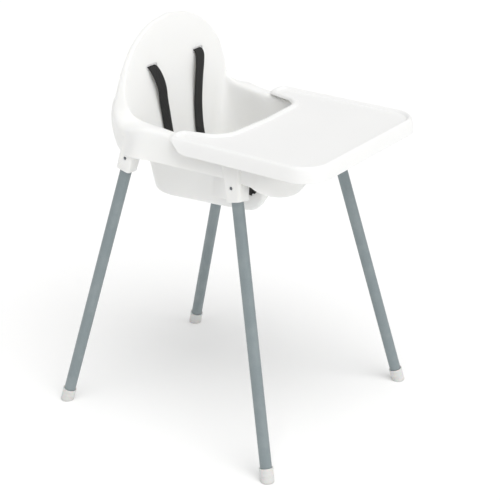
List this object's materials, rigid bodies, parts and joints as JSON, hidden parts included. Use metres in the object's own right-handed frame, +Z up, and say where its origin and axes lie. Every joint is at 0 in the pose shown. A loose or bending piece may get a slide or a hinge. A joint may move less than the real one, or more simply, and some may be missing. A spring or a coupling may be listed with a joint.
{
  "type": "baby high chair",
  "caption": "Baby high chair: white moulded seat with a tall rounded back, lift-off tray, black harness and splayed grey tube legs with white feet.",
  "frame": {"origin": "on the floor, in the middle of the chair's bounding box (between the tray's front edge and the rear feet)", "axes": "+Z up, the child faces -Y, the child's right-hand side is -X"},
  "size_m": [0.5954, 0.6685, 0.8974],
  "materials": {
    "shell_white": "satin moulded polypropylene",
    "tray_white": "smooth moulded polypropylene",
    "foot_white": "soft satin polyethylene",
    "leg_grey": "satin silver-grey powder coat",
    "spring_steel": "bright spring steel",
    "webbing_black": "woven polyester webbing",
    "buckle_black": "fine-grained acetal",
    "buckle_button": "fine-grained acetal"
  },
  "bodies": {
    "chair": {"seat_shell": "shell_white", "leg_front_right": "leg_grey", "foot_cap_front_right": "foot_white", "button_spring_front_right": "spring_steel", "leg_front_left": "leg_grey", "foot_cap_front_left": "foot_white", "button_spring_front_left": "spring_steel", "leg_rear_right": "leg_grey", "foot_cap_rear_right": "foot_white", "button_spring_rear_right": "spring_steel", "leg_rear_left": "leg_grey", "foot_cap_rear_left": "foot_white", "button_spring_rear_left": "spring_steel", "shoulder_strap_right": "webbing_black", "waist_strap_right": "webbing_black", "strap_stop_right": "buckle_black", "shoulder_strap_left": "webbing_black", "waist_strap_left": "webbing_black", "strap_stop_left": "buckle_black", "crotch_strap": "webbing_black", "crotch_strap_stop": "buckle_black", "buckle_housing": "buckle_black"},
    "tray": {"tray": "tray_white"},
    "buckle_button": {"buckle_button": "buckle_button"},
    "buckle_tongue_right": {"buckle_tongue_right": "buckle_black", "strap_slider_right": "buckle_black"},
    "buckle_tongue_left": {"buckle_tongue_left": "buckle_black", "strap_slider_left": "buckle_black"},
    "snap_button_front_right": {"snap_button_front_right": "spring_steel"},
    "snap_button_front_left": {"snap_button_front_left": "spring_steel"},
    "snap_button_rear_right": {"snap_button_rear_right": "spring_steel"},
    "snap_button_rear_left": {"snap_button_rear_left": "spring_steel"}
  },
  "joints": [
    {"name": "tray_lift", "type": "slide", "parent": "chair", "child": "tray", "axis": [0, 0, 1], "range_m": [0, 0.12]},
    {"name": "buckle_button_press", "type": "slide", "parent": "chair", "child": "buckle_button", "axis": [0, 0, -1], "range_m": [0, 0.0012], "stiffness_N_per_m": 900, "springref_m": -0.001},
    {"name": "buckle_tongue_right_pull", "type": "slide", "parent": "chair", "child": "buckle_tongue_right", "axis": [-1, 0, 0], "range_m": [0, 0.022], "deforming": ["shoulder_strap_right", "waist_strap_right"]},
    {"name": "buckle_tongue_left_pull", "type": "slide", "parent": "chair", "child": "buckle_tongue_left", "axis": [1, 0, 0], "range_m": [0, 0.022], "deforming": ["shoulder_strap_left", "waist_strap_left"]},
    {"name": "snap_button_front_right_press", "type": "slide", "parent": "chair", "child": "snap_button_front_right", "axis": [0.9898, -0.0335, -0.1387], "range_m": [0, 0.0045], "stiffness_N_per_m": 700, "springref_m": -0.001, "deforming": ["button_spring_front_right"]},
    {"name": "snap_button_front_left_press", "type": "slide", "parent": "chair", "child": "snap_button_front_left", "axis": [-0.9898, -0.0335, -0.1387], "range_m": [0, 0.0045], "stiffness_N_per_m": 700, "springref_m": -0.001, "deforming": ["button_spring_front_left"]},
    {"name": "snap_button_rear_right_press", "type": "slide", "parent": "chair", "child": "snap_button_rear_right", "axis": [0.9958, 0.0228, -0.0884], "range_m": [0, 0.0045], "stiffness_N_per_m": 700, "springref_m": -0.001, "deforming": ["button_spring_rear_right"]},
    {"name": "snap_button_rear_left_press", "type": "slide", "parent": "chair", "child": "snap_button_rear_left", "axis": [-0.9958, 0.0228, -0.0884], "range_m": [0, 0.0045], "stiffness_N_per_m": 700, "springref_m": -0.001, "deforming": ["button_spring_rear_left"]}
  ]
}
